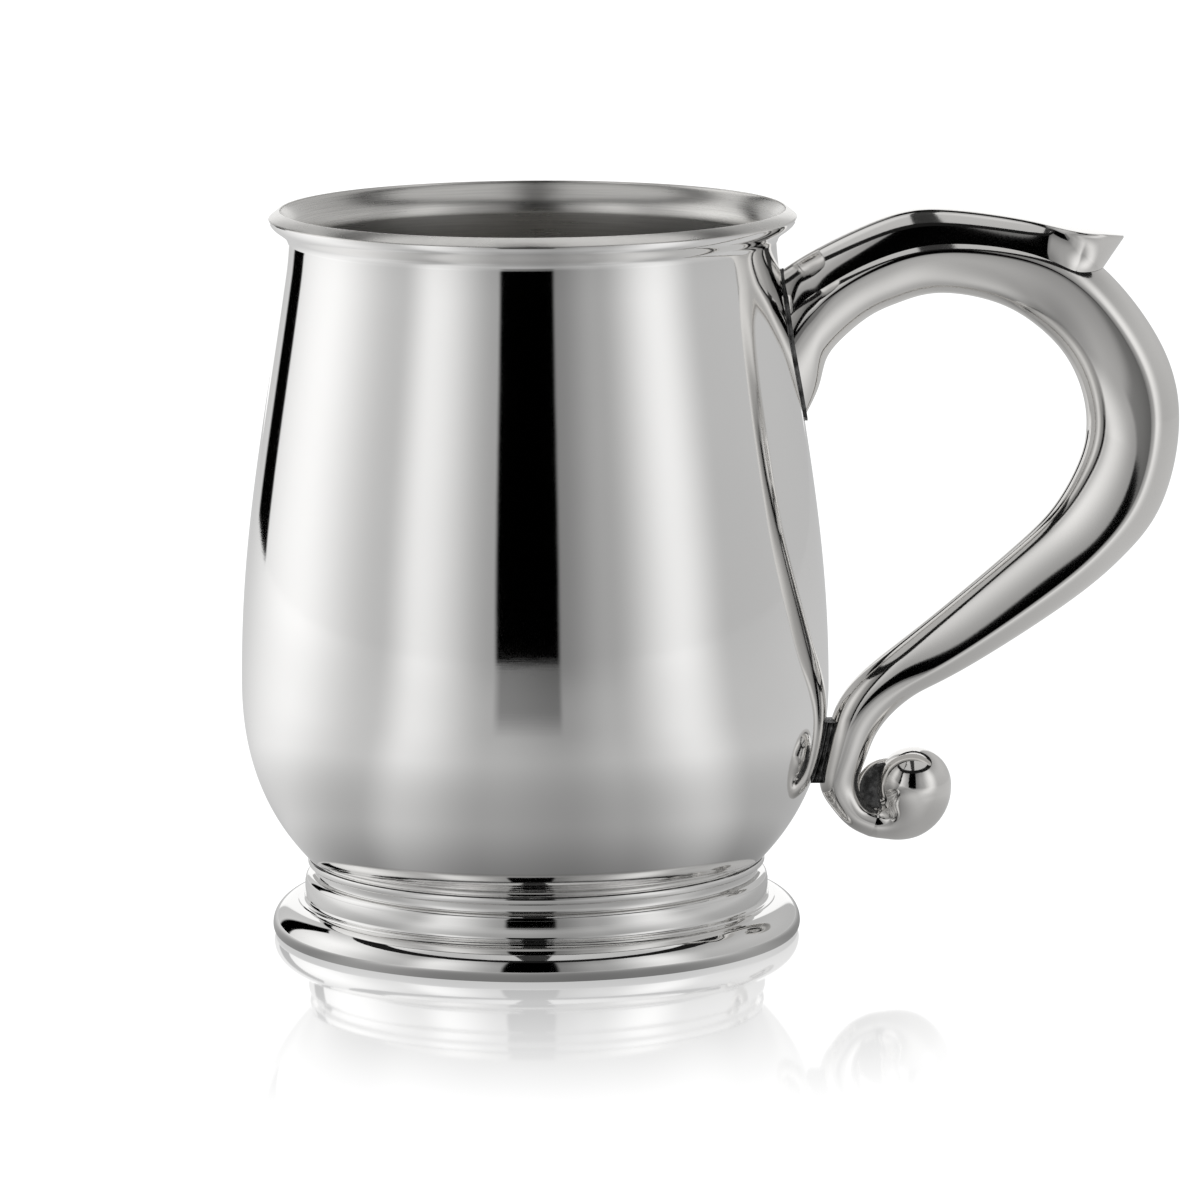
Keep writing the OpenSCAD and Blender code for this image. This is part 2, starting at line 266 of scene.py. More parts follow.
def pewter(name, colour, roughness, marks, anisotropy=0.0, turned=True, across=9000, streak=0.0):
    """A bare pewter finish. marks is (depth of fine lines, depth of ripples, roughness spread)."""
    line_depth, ripple_depth, spread = marks
    material = bpy.data.materials.new(name)
    n = Nodes(material)
    place = n.add("TexCoord").outputs["Object"]
    space = metal_coordinates(n, across, 60) if turned else place
    line_scale = 1.0 if turned else 2600
    lines = n.add("TexNoise", {"Vector": space, "Scale": line_scale, "Detail": 4.0,
                               "Roughness": 0.62}).outputs["Fac"]
    ripples = n.add("TexNoise", {"Vector": place, "Scale": 95.0, "Detail": 2.0,
                                 "Roughness": 0.5}).outputs["Fac"]
    clouds = n.add("TexNoise", {"Vector": place, "Scale": 38.0, "Detail": 5.0,
                                "Roughness": 0.6}).outputs["Fac"]
    worn = n.math("MULTIPLY", n.math("SUBTRACT", clouds, 0.5), spread)
    rough = n.math("ADD", roughness, worn)
    fine = n.math("MULTIPLY", n.math("SUBTRACT", lines, 0.5), spread * 0.6)
    rough = n.math("MAXIMUM", n.math("ADD", rough, fine), 0.01)
    shade = n.math("ADD", 1.0, n.math("MULTIPLY", n.math("SUBTRACT", clouds, 0.5), 0.06))
    shade = n.math("ADD", shade, n.math("MULTIPLY", n.math("SUBTRACT", lines, 0.5), streak))
    tint = n.add("VectorMath", {0: colour, "Scale": shade}, operation="SCALE").outputs[0]
    wave = n.add("Bump", {"Height": ripples, "Distance": ripple_depth * MM, "Strength": 1.0})
    scratch = n.add("Bump", {"Height": lines, "Distance": line_depth * MM, "Strength": 1.0,
                             "Normal": wave.outputs[0]})
    shader = n.add("BsdfPrincipled", {"Base Color": tint, "Metallic": 1.0, "Roughness": rough,
                                      "Normal": scratch.outputs[0], "Anisotropic": anisotropy,
                                      "Anisotropic Rotation": 0.25})
    if anisotropy:
        tangent = n.add("Tangent", direction_type="RADIAL", axis="Z")
        n.tree.links.new(tangent.outputs[0], shader.inputs["Tangent"])
    n.add("OutputMaterial", {"Surface": shader.outputs[0]})
    return material


def solder_metal():
    """Dull dark solder with a pitted skin."""
    material = bpy.data.materials.new("solder_metal")
    n = Nodes(material)
    place = n.add("TexCoord").outputs["Object"]
    pits = n.add("TexNoise", {"Vector": place, "Scale": 1500.0, "Detail": 6.0,
                              "Roughness": 0.7}).outputs["Fac"]
    patches = n.add("TexNoise", {"Vector": place, "Scale": 500.0, "Detail": 3.0}).outputs["Fac"]
    tone = n.ramp(patches, [(0.35, 0.05), (0.55, 0.16), (0.75, 0.42)])
    bump = n.add("Bump", {"Height": pits, "Distance": 0.25 * MM, "Strength": 1.0})
    rough = n.math("ADD", 0.28, n.math("MULTIPLY", pits, 0.3))
    shader = n.add("BsdfPrincipled", {"Base Color": tone, "Metallic": 1.0, "Roughness": rough,
                                      "Normal": bump.outputs[0]})
    n.add("OutputMaterial", {"Surface": shader.outputs[0]})
    return material


PEWTER_COLOUR = (0.845, 0.84, 0.832)
polished = pewter("polished_pewter", PEWTER_COLOUR, 0.045, (0.0012, 0.008, 0.05))
brushed = pewter("brushed_pewter", (0.66, 0.65, 0.63), 0.28, (0.004, 0.002, 0.10), 0.5,
                 across=3200, streak=0.55)
turned = pewter("turned_pewter", (0.78, 0.775, 0.765), 0.05, (0.0016, 0.003, 0.04))
cast = pewter("cast_pewter", (0.76, 0.748, 0.73), 0.07, (0.0012, 0.004, 0.05), turned=False)
solder_skin = solder_metal()


# ---- Body ----

CONE_TOP = np.array([NECK_R + 0.45, TOTAL_H - 10.2])
CONE_ANGLE = 8.5
BASE_ANGLE = 43
seam_point = np.array([SEAM_R, FOOT_H])

belly_curve = bezier([seam_point, seam_point + 5.8 * polar(90 - BASE_ANGLE),
                      [BELLY_R, BELLY_Z - 15.7], [BELLY_R, BELLY_Z]], 48)
cone_curve = bezier([[BELLY_R, BELLY_Z], [BELLY_R, BELLY_Z + 23.4],
                     CONE_TOP - 26.8 * polar(90 + CONE_ANGLE), CONE_TOP], 60)
neck_low = np.array([NECK_R, TOTAL_H - 5.2])
neck_curve = bezier([CONE_TOP, CONE_TOP + 1.4 * polar(90 + CONE_ANGLE),
                     neck_low - [0.01, 1.4], neck_low], 8)
outer_wall = np.concatenate([belly_curve, cone_curve[1:]])

lip_low = np.array([LIP_R - 0.08, TOTAL_H - 1.8])
lip_under = bezier([neck_low, neck_low + [0.02, 1.5], lip_low - [0.5, 1.5], lip_low], 20)
lip_edge = arc([LIP_R - LIP_ROUND, TOTAL_H - BEVEL_H - 0.4], LIP_ROUND, 0, 55, 8)
lip_top = arc([MOUTH_R + 0.12, TOTAL_H - 0.14], 0.14, 70, 190, 8)
mouth_flare = bezier([[MOUTH_R - 0.05, TOTAL_H - 0.3], [MOUTH_R - 0.9, TOTAL_H - 1.7],
                      [NECK_R - WALL + 0.1, TOTAL_H - 2.7], [NECK_R - WALL, TOTAL_H - 5.2]], 20)


def moved_inwards(line, distance):
    slope = np.gradient(line, axis=0)
    slope /= np.linalg.norm(slope, axis=1)[:, None]
    return line + distance * np.stack([-slope[:, 1], slope[:, 0]], 1)


def body_radius(z):
    return np.interp(z, outer_wall[:, 1], outer_wall[:, 0])


def on_body(points, gap):
    """Points moved along X onto the body's outside, or out from it by a gap."""
    p = np.array(points, float)
    p[..., 0] = np.sqrt((body_radius(p[..., 2]) + gap)**2 - p[..., 1]**2)
    return p


def build_bowl():
    """The spun body: mirror-polished outside, brushed inside and on the lip's bevel."""
    floor_top = FOOT_H + FLOOR_T
    inner = moved_inwards(outer_wall, WALL)[::-1]
    inner = inner[inner[:, 1] > floor_top + 3.2]
    corner = bezier([inner[-1], inner[-1] + 1.6 * (inner[-1] - inner[-2])
                     / np.linalg.norm(inner[-1] - inner[-2]),
                     [inner[-1][0] - 2.6, floor_top], [inner[-1][0] - 5.0, floor_top]], 14)
    outside = np.concatenate([[[0, FOOT_H]], [[SEAM_R * f, FOOT_H] for f in (0.4, 0.8)],
                              outer_wall[:-1], neck_curve[:-1], lip_under, lip_edge])
    inside = np.concatenate([lip_top, mouth_flare, inner, corner[1:],
                             [[r, floor_top] for r in (24.0, 16.0, 8.0, 0)]])
    edge = len(outside) - len(lip_edge) + 2
    piece = lathe("tankard_bowl", np.concatenate([outside, inside]), [polished, brushed],
                  closed=False, material_of=lambda row: int(row >= edge))
    outward(piece)
    crease(piece, 30)
    return finish_piece(piece, "polished_pewter", "body_shell")


# ---- Foot ----

GROOVE_TOP = 11.2
GROOVE_BOTTOM = 9.8
PLINTH_TOP = 8.3
PLINTH_BOTTOM = 6.2
DOME_TOP = 5.4
WIDEST_Z = 1.3
REST_OUTER_R = FLANGE_R - 0.8


def build_foot():
    outline = np.concatenate([
        arc([BAND_R - 0.12, BAND_TOP - 0.12], 0.12, 90, 0, 3),
        arc([BAND_R - 0.35, GROOVE_TOP + 0.35], 0.35, 0, -90, 8),
        [[GROOVE_R + 0.1, GROOVE_TOP]],
        arc([GROOVE_R + 0.1, GROOVE_TOP - 0.1], 0.1, 90, 180, 3),
        arc([GROOVE_R + 0.12, GROOVE_BOTTOM + 0.12], 0.12, 180, 260, 3),
        arc([PLINTH_R - 1.2, GROOVE_BOTTOM - 1.1], 1.1, 80, 0, 16),
        [[PLINTH_R, PLINTH_TOP], [PLINTH_R, PLINTH_BOTTOM]],
        arc([PLINTH_R + 0.6, PLINTH_BOTTOM], 0.6, 180, 270, 10),
        arc([PLINTH_R + 1.04, PLINTH_BOTTOM - 0.66], 0.06, 90, 0, 2),
        bezier([[PLINTH_R + 1.2, DOME_TOP], [PLINTH_R + 3.2, DOME_TOP - 0.1],
                [FLANGE_R, WIDEST_Z + 2.3], [FLANGE_R, WIDEST_Z]], 28),
        bezier([[FLANGE_R, WIDEST_Z], [FLANGE_R, 0.6],
                [REST_OUTER_R + 0.5, 0], [REST_OUTER_R, 0]], 10)[1:],
        [[REST_INNER_R, 0], [REST_INNER_R - 0.4, 0.8], [PLINTH_R - 0.6, 3.4],
         [FOOT_BORE_R + 0.6, 7.5], [FOOT_BORE_R, BAND_TOP]]])
    piece = lathe("foot_ring_turned", outline, [turned])
    outward(piece)
    crease(piece, 32)
    return finish_piece(piece, "turned_pewter", "foot_ring")


def build_foot_seam():
    """The hairline of solder between the body and the foot, with a slightly uneven face."""
    outline = [[FOOT_BORE_R, BAND_TOP], [SEAM_R - 0.12, BAND_TOP], [SEAM_R - 0.06, BAND_TOP + 0.05],
               [SEAM_R - 0.05, FOOT_H - 0.06], [SEAM_R - 0.12, FOOT_H], [FOOT_BORE_R, FOOT_H]]
    piece = lathe("foot_seam_solder", outline, [solder_skin], steps=192)
    outward(piece)
    crease(piece, 50)
    return finish_piece(piece, "solder", "foot_solder_seam")


# ---- Handle ----

# As in the CAD source: x, z of the finger side, x, z of the outer edge, half the width,
# how far the finger side is pinched, and how far the section is a wedge
HANDLE_ROWS = [
    [43.3, 83.1, 40.6, 102.6, 5.2, 0.75, 0],
    [45.8, 88.4, 42.3, 104.2, 5.2, 0.60, 0.2],
    [47.0, 92.8, 44.2, 105.4, 5.2, 0.40, 0.3],
    [49.8, 96.4, 46.2, 106.6, 5.2, 0.20, 0.6],
    [54.2, 99.9, 50.0, 108.9, 5.2, 0.05, 0.8],
    [58.9, 102.0, 56.3, 111.9, 5.3, 0, 0.9],
    [65.2, 103.4, 65.2, 113.8, 5.4, 0, 1],
    [74.0, 101.9, 76.8, 113.4, 5.8, 0, 1],
    [80.6, 98.2, 86.6, 110.7, 6.3, 0, 1],
    [85.4, 93.2, 94.7, 103.9, 6.6, 0, 0.9],
    [88.2, 87.0, 101.8, 92.8, 6.8, 0, 0.8],
    [88.8, 80.8, 103.7, 80.7, 6.8, 0, 0.8],
    [87.2, 75.0, 100.9, 68.8, 6.6, 0, 0.9],
    [83.6, 68.7, 95.2, 60.9, 6.2, 0, 1],
    [76.8, 61.8, 85.8, 52.9, 5.6, 0, 1],
    [64.1, 51.0, 69.9, 42.6, 4.8, 0, 1],
    [56.0, 44.6, 62.0, 38.4, 4.3, 0, 0.5],
    [51.0, 39.9, 57.6, 34.9, 4.0, 0, 0.1],
    [48.1, 34.8, 54.9, 31.2, 3.8, 0, 0],
    [46.7, 28.8, 53.4, 27.4, 3.5, 0, 0],
    [46.0, 23.4, 52.3, 23.9, 3.1, 0, 0],
    [47.8, 19.6, 52.8, 21.4, 2.8, 0, 0],
    [50.6, 16.5, 53.8, 19.9, 2.7, 0, 0],
    [54.0, 14.7, 55.6, 19.3, 2.6, 0, 0]]
LAST_ROW = len(HANDLE_ROWS) - 1
RIDGE_ANGLE = 67.5
RIDGE_TURN = (1.3, 1.4)
handle_at = smooth_rows(HANDLE_ROWS)


def wedge(s):
    """Half-width of a wedge-shaped section, from its finger side (-1) to its outer edge (1)."""
    ridge = math.cos(math.radians(RIDGE_ANGLE))
    inside = (np.maximum(ridge - s, 0) / (1 + ridge))**RIDGE_TURN[0]
    outside = (np.maximum(s - ridge, 0) / (1 - ridge))**RIDGE_TURN[1]
    return np.sqrt(np.maximum(1 - inside - outside, 0))


def skin(u, phi, inset=0.0):
    """Points of the handle's skin: a grid over rows u and angles phi in degrees (0 is outside)."""
    row = handle_at(u)[:, None, :]
    a = np.radians(np.atleast_1d(np.asarray(phi, float)))[None, :]
    middle = (row[..., 0:2] + row[..., 2:4]) / 2
    reach = (row[..., 2:4] - row[..., 0:2]) / 2
    depth = np.linalg.norm(reach, axis=-1)
    out = reach / depth[..., None]
    place = middle + out * ((depth - inset) * np.cos(a))[..., None]
    pinch = 1 - row[..., 5] * ((1 - np.cos(a)) / 2)**1.5
    fullness = mix(np.abs(np.sin(a)), wedge(np.cos(a)), row[..., 6])
    y = (row[..., 4] - inset) * np.sign(np.round(np.sin(a), 9)) * fullness * pinch
    return np.stack([place[..., 0], y, place[..., 1]], -1)


def grid_normals(points):
    """Unit normals of a grid of points, facing the right-hand side of rows x columns."""
    along = np.gradient(points, axis=0)
    across = np.gradient(points, axis=1)
    normal = np.cross(across, along)
    return normal / np.maximum(np.linalg.norm(normal, axis=-1), 1e-12)[..., None]


def set_normals(piece, face_count, normals):
    """Gives the first faces of a piece the smooth normals of the whole surface they belong to."""
    mesh = piece.data
    loops = np.zeros((len(mesh.loops), 3))
    vertex_of = np.zeros(len(mesh.loops), int)
    mesh.loops.foreach_get("vertex_index", vertex_of)
    for polygon in mesh.polygons[:face_count]:
        for k in polygon.loop_indices:
            loops[k] = normals[vertex_of[k]]
    mesh.normals_split_custom_set(loops.tolist())


HANDLE_STEP = 0.06
HALF_SIDES = 48


def build_handle_half(name, side, node):
    """One half of the hollow handle. Its outer faces take the whole handle's normals, so the
    soldered seam along the middle doesn't show, as on the polished original."""
    u = np.linspace(0, LAST_ROW, int(LAST_ROW / HANDLE_STEP) + 1)
    phi = np.linspace(0, 180, HALF_SIDES + 1)
    whole = np.linspace(-180, 180, 2 * HALF_SIDES + 1)
    full = skin(u, whole)
    full[0] = on_body(full[0], SOLDER_GAP)
    around = np.concatenate([full[:, -2:-1], full, full[:, 1:2]], 1)
    normals = grid_normals(around)[:, 1:-1]
    pick = slice(HALF_SIDES, None) if side > 0 else slice(HALF_SIDES, None, -1)
    outer, outer_normals = full[:, pick], normals[:, pick]
    inner = skin(u, side * phi, SHELL_T)
    inner[0] = on_body(inner[0], SOLDER_GAP)
    if np.mean(np.einsum("ijk,ijk->ij", outer_normals, outer - inner)) < 0:
        outer_normals = -outer_normals
    rows, columns = outer.shape[:2]
    count = rows * columns
    outer_faces = grid_faces(rows, columns)
    inner_faces = [[v + count for v in reversed(f)] for f in outer_faces]
    edge_faces = []
    for k in range(rows - 1):
        for c, turned_over in ((0, False), (columns - 1, True)):
            a, b = k * columns + c, (k + 1) * columns + c
            quad = [a, b, b + count, a + count]
            edge_faces.append(quad[::-1] if turned_over else quad)
    for k, turned_over in ((0, True), (rows - 1, False)):
        for c in range(columns - 1):
            a, b = k * columns + c, k * columns + c + 1
            quad = [a, b, b + count, a + count]
            edge_faces.append(quad[::-1] if turned_over else quad)
    faces = outer_faces + inner_faces + edge_faces
    if side > 0:
        faces = [f[::-1] for f in faces]
    vertices = np.concatenate([outer.reshape(-1, 3), inner.reshape(-1, 3)])
    piece = new_object(name, vertices, faces, [cast])
    outward(piece)
    crease(piece, 40)
    set_normals(piece, len(outer_faces), outer_normals.reshape(-1, 3))
    return finish_piece(piece, "cast_pewter", node)


# ---- Thumb leaf ----

# Handle row, x and z of the top, half the top's width, root's spread. All but z are as in the
# CAD source; z stands 0.6 to 1.4 mm above it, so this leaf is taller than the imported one.
LEAF_ROWS = [
    [0, 39.8, 107.2, 0.9, 40],
    [3, 45.4, 110.7, 1.2, 46],
    [5, 55.6, 115.5, 1.9, 51],
    [6, 65.0, 117.1, 2.4, 52],
    [7, 76.5, 115.8, 3.1, 54],
    [7.6, 82.5, 114.6, 4.2, 56],
    [8, 86.6, 113.8, 5.6, 56],
    [8.25, 89.8, 113.4, 5.8, 50],
    [8.45, 92.3, 113.1, 4.5, 34],
    [8.55, 94.0, 112.7, 2.2, 15],
    [8.58, 94.6, 112.5, 0.3, 3]]
LEAF_EDGE = 0.35
WAIST_LIFT = 1.1
ROOT_STEPS = 12
FLANK_STEPS = 14
EDGE_STEPS = 4
TOP_STEPS = 6
HOLLOW_FROM = 5.0
HOLLOW_OVER = 1.5
leaf_at = smooth_rows(LEAF_ROWS)


def leaf_ring(k):
    """A closed section of the leaf: its root on the handle, a flank, a rounded rim and a
    slightly crowned top, then the same on the near side. The flank bows outwards along the
    ridge and turns hollow under the tip."""
    u, x, z, half, spread = leaf_at(k)[0]
    half, spread = max(half, 0.25), max(spread, 2.0)
    root = skin(u, np.linspace(-spread, spread, 2 * ROOT_STEPS + 1), -FILM)[0]
    start, waist = root[-1], skin(u, 0.45 * spread, -WAIST_LIFT)[0, 0]
    rim = np.array([x, half, z - LEAF_EDGE])
    shoulder = np.array([x, mix(start[1], half, 0.12), mix(start[2], rim[2], 0.72)])
    hollow = np.clip((k - HOLLOW_FROM) / HOLLOW_OVER, 0, 1)
    bow = mix(shoulder, waist, hollow)
    t = np.linspace(0, 1, FLANK_STEPS + 1)[1:, None]
    flank = mix(mix(start, bow, t), mix(bow, rim, t), t)
    turn = np.linspace(0, 90, EDGE_STEPS + 1)[1:, None]
    radius = min(0.18, half * 0.5)
    edge = rim + np.concatenate([
        np.zeros_like(turn), radius * (np.cos(np.radians(turn)) - 1),
        LEAF_EDGE * 0.5 + LEAF_EDGE * 0.5 * np.sin(np.radians(turn))], 1)
    across = np.linspace(1, 0, TOP_STEPS + 1)[1:, None]
    crown = 0.12 * half / 5
    top = np.concatenate([np.full_like(across, x), (half - radius) * across,
                          z + crown * (1 - across**2)], 1)
    far = np.concatenate([flank, edge, top])
    near = far[-2::-1] * [1, -1, 1]
    return np.concatenate([root, far, near])


def build_leaf():
    last = len(LEAF_ROWS) - 1
    stations = np.linspace(0, last, 12 * last + 1)
    rings = np.array([leaf_ring(k) for k in stations])
    rings[0] = on_body(rings[0], SOLDER_GAP)
    size = rings.shape[1]
    faces = grid_faces(len(rings), size, around=True)
    middle = ROOT_STEPS
    for base in (0, (len(rings) - 1) * size):
        for i in range(size // 2):
            quad = [(middle + i) % size, (middle + i + 1) % size,
                    (middle - i - 1) % size, (middle - i) % size]
            quad = [q + base for k, q in enumerate(quad) if q != quad[k - 1]]
            if len(set(quad)) > 2:
                faces.append(quad)
    piece = new_object("thumb_leaf_shaped", rings.reshape(-1, 3), faces, [cast])
    outward(piece)
    crease(piece, 60)
    return finish_piece(piece, "cast_pewter", "thumb_leaf")


# ---- Ball terminal ----

VOLUTE_CENTRE = np.array([58.5, 23.0])
CURL_R = 8.75
CURL_FROM = 248
CURL_TO = 356
VOXEL = 0.17
CROOK_CENTRE = (57.0, 0, 23.0)
CROOK_SIZE = (5.0, 1.6, 4.6)
BLEND_CENTRE = (57.6, 18.6)
BLEND_R = 4.2
BLEND_X = 55.2
BLEND_ROUNDS = 420
# The patch in the crook of the curl that takes the dark solder material.
DARK_CROOK_CENTRE = (56.8, 22.6)
DARK_CROOK_R = 4.4
DARK_CROOK_HALF_Y = 1.8
DARK_CROOK_X = 56.6
DARK_CROOK_Z = 19.4
CURL_STEPS = 24
LEAD_IN = ((0.25, 0.06), (0.12, 0.05), (0.0, 0.0))    # rows back from the handle's end, and inset


def curl_ring(t):
    """A section of the curl that grows from the end of the handle into the ball."""
    a = mix(CURL_FROM, CURL_TO, t)
    grow = 1 - (1 - t)**2
    depth = mix(2.42, BALL_R - 0.1, grow)
    width = mix(2.62, BALL_R - 0.1, grow)
    out = polar(a)
    outer = VOLUTE_CENTRE + out * mix(CURL_R + 0.3, BALL_CENTRE[0] + BALL_R - VOLUTE_CENTRE[0], t)
    middle = outer - out * depth
    phi = np.radians(np.arange(2 * HALF_SIDES) * 180 / HALF_SIDES)
    p = middle[None, :] - out[None, :] * (depth * np.cos(phi))[:, None]
    return np.stack([p[:, 0], width * np.sin(phi), p[:, 1]], 1)


def relax(points, edges, weight, rounds):
    """Moves points towards the middle of their neighbours, by a weight each."""
    degree = np.bincount(edges.ravel(), minlength=len(points))[:, None]
    start, end = edges[:, 0], edges[:, 1]
    for _ in range(rounds):
        total = np.stack([np.bincount(start, points[end, k], len(points))
                          + np.bincount(end, points[start, k], len(points))
                          for k in range(3)], 1)
        points = points + weight[:, None] * (total / degree - points)
    return points


def curl_with_ball():
    """The curl, the ball and the metal in the crook, as overlapping closed skins."""
    whole = np.arange(2 * HALF_SIDES) * 180 / HALF_SIDES
    lead_in = np.concatenate([skin(LAST_ROW - back, whole, inset) for back, inset in LEAD_IN])
    curl = np.array([curl_ring(t) for t in np.linspace(0.08, 1, CURL_STEPS)])
    rings = np.concatenate([lead_in, curl])
    size = rings.shape[1]
    faces = grid_faces(len(rings), size, around=True)
    faces += [list(range(size)), [len(rings) * size - 1 - i for i in range(size)]]
    piece = new_object("scroll_ball_and_curl", rings.reshape(-1, 3), faces, [cast])
    work = bmesh.new()
    work.from_mesh(piece.data)
    place = Matrix.Translation(Vector(BALL_CENTRE * MM))
    bmesh.ops.create_icosphere(work, subdivisions=6, radius=BALL_R * MM, matrix=place)
    crook = Matrix.Translation(Vector(CROOK_CENTRE) * MM) @ Matrix.Diagonal((*CROOK_SIZE, 1))
    bmesh.ops.create_icosphere(work, subdivisions=5, radius=MM, matrix=crook)
    bmesh.ops.recalc_face_normals(work, faces=work.faces)
    work.to_mesh(piece.data)
    work.free()
    return piece


def join_skins(piece):
    """Replaces overlapping skins by the one skin round them all."""
    remesh = piece.modifiers.new("join", "REMESH")
    remesh.mode = "VOXEL"
    remesh.voxel_size = VOXEL * MM
    graph = bpy.context.evaluated_depsgraph_get()
    joined = bpy.data.meshes.new_from_object(piece.evaluated_get(graph))
    piece.modifiers.clear()
    old = piece.data
    piece.data = joined
    bpy.data.meshes.remove(old)


def blend_joint(mesh):
    """Smooths the remeshed skin a little all over, and much more where ball and curl meet."""
    points = np.zeros(len(mesh.vertices) * 3)
    mesh.vertices.foreach_get("co", points)
    points = points.reshape(-1, 3) / MM
    edges = np.zeros(len(mesh.edges) * 2, int)
    mesh.edges.foreach_get("vertices", edges)
    edges = edges.reshape(-1, 2)
    points = relax(points, edges, np.full(len(points), 0.5), 6)
    away = np.hypot(points[:, 0] - BLEND_CENTRE[0], points[:, 2] - BLEND_CENTRE[1])
    blend = np.clip(1.35 - away / BLEND_R, 0, 1) * np.clip((points[:, 0] - BLEND_X) / 1.5, 0, 1)
    points = relax(points, edges, 0.6 * blend, BLEND_ROUNDS)
    mesh.vertices.foreach_set("co", (points * MM).ravel())


def in_crook(x, y, z):
    """Whether a place lies in the crook of the curl, on the patch that takes the dark solder
    material.
    """
    inside = math.hypot(x - DARK_CROOK_CENTRE[0], z - DARK_CROOK_CENTRE[1]) < DARK_CROOK_R
    return inside and abs(y) < DARK_CROOK_HALF_Y and x < DARK_CROOK_X and z > DARK_CROOK_Z


def build_ball():
    """The ball and the curl that carries it, joined into one skin and blended where they meet."""
    piece = curl_with_ball()
    join_skins(piece)
    mesh = piece.data
    blend_joint(mesh)
    mesh.materials.clear()
    mesh.materials.append(cast)
    mesh.materials.append(solder_skin)
    # Faces in the crook of the curl take the dark solder material.
    for face in mesh.polygons:
        face.material_index = int(in_crook(*(face.center / MM)))
    mesh.polygons.foreach_set("use_smooth", [True] * len(mesh.polygons))
    crease(piece, 50)
    return finish_piece(piece, "cast_pewter", "scroll_ball")


# ---- Solder at the handle's joints ----

BEAD = 0.3
LEAF_SPREAD = LEAF_ROWS[0][4]
LEAF_RISE = LEAF_ROWS[0][2] - HANDLE_ROWS[0][3]


def build_upper_solder():
    """The line of solder round the root of the handle, its edge broken up as it froze."""
    rng = np.random.default_rng(7)
    n = 360
    angles = np.linspace(-180, 180, n + 1)[:-1]
    near_leaf = np.clip(1 - (angles / LEAF_SPREAD)**2, 0, 1)
    rag = np.convolve(rng.normal(0, 1, n + 8), [0.25, 0.5, 0.25], "same")[4:-4] * 0.09
    outline = np.array([skin(0, a, -BEAD * (0.75 + r))[0, 0] for a, r in zip(angles, rag)])
    outline[:, 2] += LEAF_RISE * near_leaf
    hollow = skin(0, angles, SHELL_T)[0]
    middle = outline + (outline - hollow) * 0.02
    rings = [on_body(outline, FILM / 2), on_body(middle, SOLDER_GAP * 0.5),
             on_body(outline, SOLDER_GAP - FILM / 2), on_body(hollow, SOLDER_GAP - FILM / 2),
             on_body(hollow, FILM / 2)]
    faces = []
    for r in range(5):
        for i in range(n):
            j = (i + 1) % n
            s = (r + 1) % 5
            faces.append([r * n + i, r * n + j, s * n + j, s * n + i])
    piece = new_object("handle_root_solder", np.concatenate(rings), faces, [solder_skin])
    outward(piece)
    crease(piece, 35)
    return finish_piece(piece, "solder", "upper_joint_solder")


WEB_FROM = 18.1
WEB_TO = 19.9
WEB_HALF_ANGLE = 38


def build_lower_solder():
    """The rough web of solder that fills the gap between the scroll and the body."""
    rng = np.random.default_rng(11)
    columns, rows, layers = 41, 60, 13
    stations = np.linspace(WEB_FROM, WEB_TO, rows)
    angles = 180 + np.linspace(-WEB_HALF_ANGLE, WEB_HALF_ANGLE, columns)
    outer = skin(stations, angles, -FILM)
    inner = on_body(outer, FILM)
    grain = rng.normal(0, 0.14, layers)[None, :] + rng.normal(0, 0.03, (rows, layers))
    side_rings = []
    for k in range(rows):
        near_edge, far_edge = [], []
        for m in range(layers):
            t = (m + 1) / (layers + 1)
            hollow = 0.55 * math.sin(math.pi * t) + grain[k, m]
            a = mix(outer[k, 0], inner[k, 0], t)
            b = mix(outer[k, -1], inner[k, -1], t)
            near_edge.append(a * [1, 1 - hollow / max(abs(a[1]), 1), 1])
            far_edge.append(b * [1, 1 - hollow / max(abs(b[1]), 1), 1])
        side_rings.append(np.concatenate([outer[k], far_edge, inner[k][::-1], near_edge[::-1]]))
    rings = np.array(side_rings)
    size = rings.shape[1]
    faces = grid_faces(rows, size, around=True)
    for base in (0, (rows - 1) * size):
        for i in range(columns - 1):
            far = 2 * columns + layers - 1 - i
            faces.append([base + i, base + i + 1, base + far - 1, base + far])
        for offset, start in ((columns - 1, columns), (2 * columns + layers - 1, 0)):
            ring = [base + offset + m for m in range(layers + 1)]
            ring.append(base + (offset + layers + 1) % size)
            faces.append(ring)
    piece = new_object("scroll_solder_web", rings.reshape(-1, 3), faces, [solder_skin])
    outward(piece)
    crease(piece, 60)
    return finish_piece(piece, "solder", "lower_joint_solder")


build_bowl()
build_foot()
build_foot_seam()
build_handle_half("handle_near", -1, "handle_near_half")
build_handle_half("handle_far", 1, "handle_far_half")
build_leaf()
build_ball()
build_upper_solder()
build_lower_solder()


# ---- Studio ----

def emission(name, build):
    """A material that only gives light; build makes its brightness from a node tree."""
    material = bpy.data.materials.new(name)
    n = Nodes(material)
    shader = n.add("Emission", {"Strength": build(n)})
    n.add("OutputMaterial", {"Surface": shader.outputs[0]})
    return material


def stage_piece(piece, camera=False):
    piece.visible_camera = camera
    piece.visible_shadow = False
    piece.visible_diffuse = False
    return piece


WHITE = 1.14
TENT_R = 760.0
TENT_BOTTOM = -120.0
TENT_TOP = 750.0
CEILING_R = 750.0
CEILING_Z = 1050.0
TABLE_R = 40000.0
TABLE_DROP = 0.02
TABLE_TONE = 0.68
MIRROR_R = 200
SLIT_LEFT = -14.6
SLIT_RIGHT = 9.7
SLIT_EDGE = 0.2
TABLE_SLIT_EDGE = 1.0


